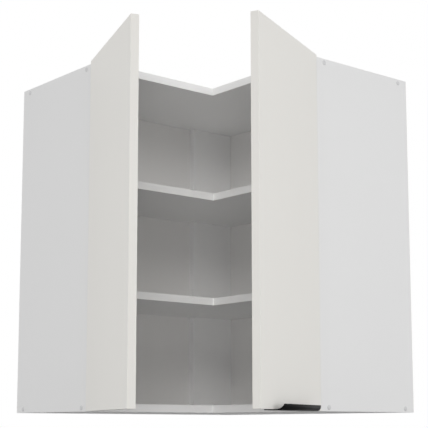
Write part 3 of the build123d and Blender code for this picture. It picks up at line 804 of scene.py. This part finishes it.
HANDLE_PLATE = 0.0016
HANDLE_SCREWS = (0.083, 0.211)
HANDLE_SCREW_HEIGHT = 0.0115
flush_screw = cross_screw(
    0.0018,
    [
        (0.0029, 0), (0.0032, -0.0001), (0.0017, -0.00144), (0.0017, -0.0105),
        (0.0004, -0.0123),
    ],
)
places = [
    standing(*door_spot("right", along, HANDLE_SCREW_HEIGHT, HANDLE_PLATE))
    for along in HANDLE_SCREWS
]
handle_fixings = to_object("driven_handle_screws", repeated(flush_screw, places), bright_zinc)
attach(handle_fixings, "right_door")
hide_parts("handle_screws")
print(handle_fixings.name, len(places))

# %% [markdown]
# ## Even light from all around
# Product pictures of white furniture are lit evenly, so that only corners and the inside
# go grey. The world gives most of that light. It is plain white to the camera and in
# reflections. As a lamp it is weaker, and weaker still below the horizon, so that the
# undersides stay a little darker than the tops.

# %% World
SKY_LIGHT = 0.60
GROUND_LIGHT = 0.15
world = bpy.data.worlds.new("studio")
bpy.context.scene.world = world
world.use_nodes = True
tree = world.node_tree
tree.nodes.clear()
rays = add_node(tree, "ShaderNodeLightPath").outputs
seen = calculate(tree, "MAXIMUM", rays["Is Camera Ray"], rays["Is Glossy Ray"])
seen = calculate(tree, "MAXIMUM", seen, rays["Is Transmission Ray"])
direction = add_node(tree, "ShaderNodeTexCoord").outputs["Generated"]
upward = add_node(tree, "ShaderNodeSeparateXYZ", {"Vector": direction}).outputs["Z"]
strength = add_node(
    tree, "ShaderNodeMapRange",
    {
        "Value": upward, "From Min": -0.25, "From Max": 0.05,
        "To Min": GROUND_LIGHT, "To Max": SKY_LIGHT,
    },
    interpolation_type="SMOOTHSTEP",
).outputs[0]
lamp = add_node(tree, "ShaderNodeBackground", {"Color": (1, 1, 1, 1), "Strength": strength})
backdrop = add_node(tree, "ShaderNodeBackground", {"Color": (1, 1, 1, 1), "Strength": 1.0})
both = add_node(tree, "ShaderNodeMixShader", {0: seen, 1: lamp.outputs[0], 2: backdrop.outputs[0]})
add_node(tree, "ShaderNodeOutputWorld", {"Surface": both.outputs[0]})
bpy.context.scene.view_settings.view_transform = "Standard"
print("world lit at", SKY_LIGHT, "above and", GROUND_LIGHT, "below")

# %% [markdown]
# ## Four soft lamps and three fills
# A lamp on each side reaches the outer faces of the panels and doors, one behind reaches
# the backs, and a weak one in front opens the shadows. The inside of a deep cabinet would
# still be too dark, so three small fills shine into the open corner. Light linking names
# the boards that a fill may light and the pieces that may shade it. The fill from above
# lights the shelves and the backs but not the top board, which the sky already lights.


# %% Lamps
def soft_lamp(name, azimuth, height, distance, size, power, color=(1, 1, 1)):
    """A large square lamp that looks at the middle of the cabinet."""
    middle = Vector((0.32, -0.32, HEIGHT / 2))
    place = middle + turned(azimuth) * distance + UP * height
    data = bpy.data.lights.new(name, "AREA")
    data.shape = "SQUARE"
    data.size = size
    data.energy = power
    data.color = color
    lamp = bpy.data.objects.new(name, data)
    lamp.location = place
    lamp.rotation_euler = (middle - place).to_track_quat("-Z", "Y").to_euler()
    lamp.visible_camera = False
    bpy.context.scene.collection.objects.link(lamp)
    return lamp


soft_lamp("lamp_right", 10, 0.5, 2.8, 2.2, 24.5)
soft_lamp("lamp_left", -95, 0.5, 2.8, 2.2, 18)
soft_lamp("lamp_behind", 135, 0.5, 2.8, 2.2, 22)
soft_lamp("lamp_front", -40, -0.3, 3.0, 1.6, 9.3)

# %% Fills for the open front
WARM = (1.0, 0.985, 0.965)
TOWARDS_OPENING = -41
FILL_SIZE = 0.9
SHELVES = ["bottom_board", "lower_shelf", "upper_shelf"]
BACKS = ["corner_strip", "left_back_panel", "right_back_panel"]


def gathered(name, nodes):
    """A collection that light linking can name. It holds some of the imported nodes."""
    group = bpy.data.collections.new(name)
    for node in nodes:
        group.objects.link(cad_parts[node])
    return group


shading = gathered("shading_the_fills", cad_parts)
for name, height, distance, power, lit in (
    ("fill_from_above", 1.1, 2.6, 24.0, SHELVES + BACKS),
    ("fill_for_top_edge", 0.1, 2.6, 13.0, ["top_board"]),
    ("fill_from_below", -1.3, 2.45, 9.6, SHELVES + BACKS + ["top_board"]),
):
    fill = soft_lamp(name, TOWARDS_OPENING, height, distance, FILL_SIZE, power, WARM)
    fill.light_linking.receiver_collection = gathered("lit_by_" + name, lit)
    fill.light_linking.blocker_collection = shading
print("lamps:", [light.name for light in bpy.data.lights])

# %% [markdown]
# ## A floor that carries the shadow
# The floor is a pale disc under the cabinet that fades out into the white. Straight from
# the camera it is nearly white. To all other rays it is darker, as if the light that it
# sends back up had been turned down, because the undersides of the boards show that light.
# Seen from below it is clear, so that a view from under the cabinet is not blocked.

# %% Floor
FLOOR_LEVEL = -0.30
FLOOR_RADIUS = 3.2
disc = bmesh.new()
bmesh.ops.create_circle(disc, cap_ends=True, cap_tris=False, segments=96, radius=FLOOR_RADIUS)
bmesh.ops.translate(disc, verts=disc.verts, vec=(0.3, -0.3, FLOOR_LEVEL))
floor_mesh = bpy.data.meshes.new("floor")
disc.to_mesh(floor_mesh)
disc.free()
floor = bpy.data.objects.new("floor", floor_mesh)
bpy.context.scene.collection.objects.link(floor)
floor_paint = bpy.data.materials.new("floor_paint")
floor_paint.use_nodes = True
tree = floor_paint.node_tree
matt = tree.nodes["Principled BSDF"]
place = add_node(
    tree, "ShaderNodeMapping", {"Vector": add_node(tree, "ShaderNodeTexCoord").outputs["Object"]}
)
place.inputs["Location"].default_value = (-0.3, 0.3, -FLOOR_LEVEL)
length = add_node(tree, "ShaderNodeVectorMath", {0: place.outputs[0]}, operation="LENGTH")
reach = length.outputs["Value"]


def rise(start, end, low=0.0, high=1.0):
    """A smooth step with the distance from the point below the cabinet."""
    limits = {"Value": reach, "From Min": start, "From Max": end, "To Min": low, "To Max": high}
    return add_node(tree, "ShaderNodeMapRange", limits, interpolation_type="SMOOTHSTEP").outputs[0]


# Painted shade: to all rays but the camera's the floor is darkest right beneath the cabinet and a
# little lighter further out, so less light bounces up onto the undersides.
bounce = rise(0.35, 0.9, 0.25, 0.35)
straight = add_node(tree, "ShaderNodeLightPath").outputs["Is Camera Ray"]
tree.links.new(mix_colors(tree, straight, bounce, (0.80, 0.80, 0.79, 1)), matt.inputs["Base Color"])
matt.inputs["Roughness"].default_value = 0.9
fade = rise(1.0, FLOOR_RADIUS - 0.2)
clear = add_node(tree, "ShaderNodeBsdfTransparent")
from_below = add_node(tree, "ShaderNodeNewGeometry").outputs["Backfacing"]
see_through = calculate(tree, "MAXIMUM", fade, from_below)
blend = add_node(
    tree, "ShaderNodeMixShader", {0: see_through, 1: matt.outputs[0], 2: clear.outputs[0]}
)
tree.links.new(blend.outputs[0], tree.nodes["Material Output"].inputs["Surface"])
floor_mesh.materials.append(floor_paint)
print("floor", FLOOR_LEVEL, "m, radius", FLOOR_RADIUS)
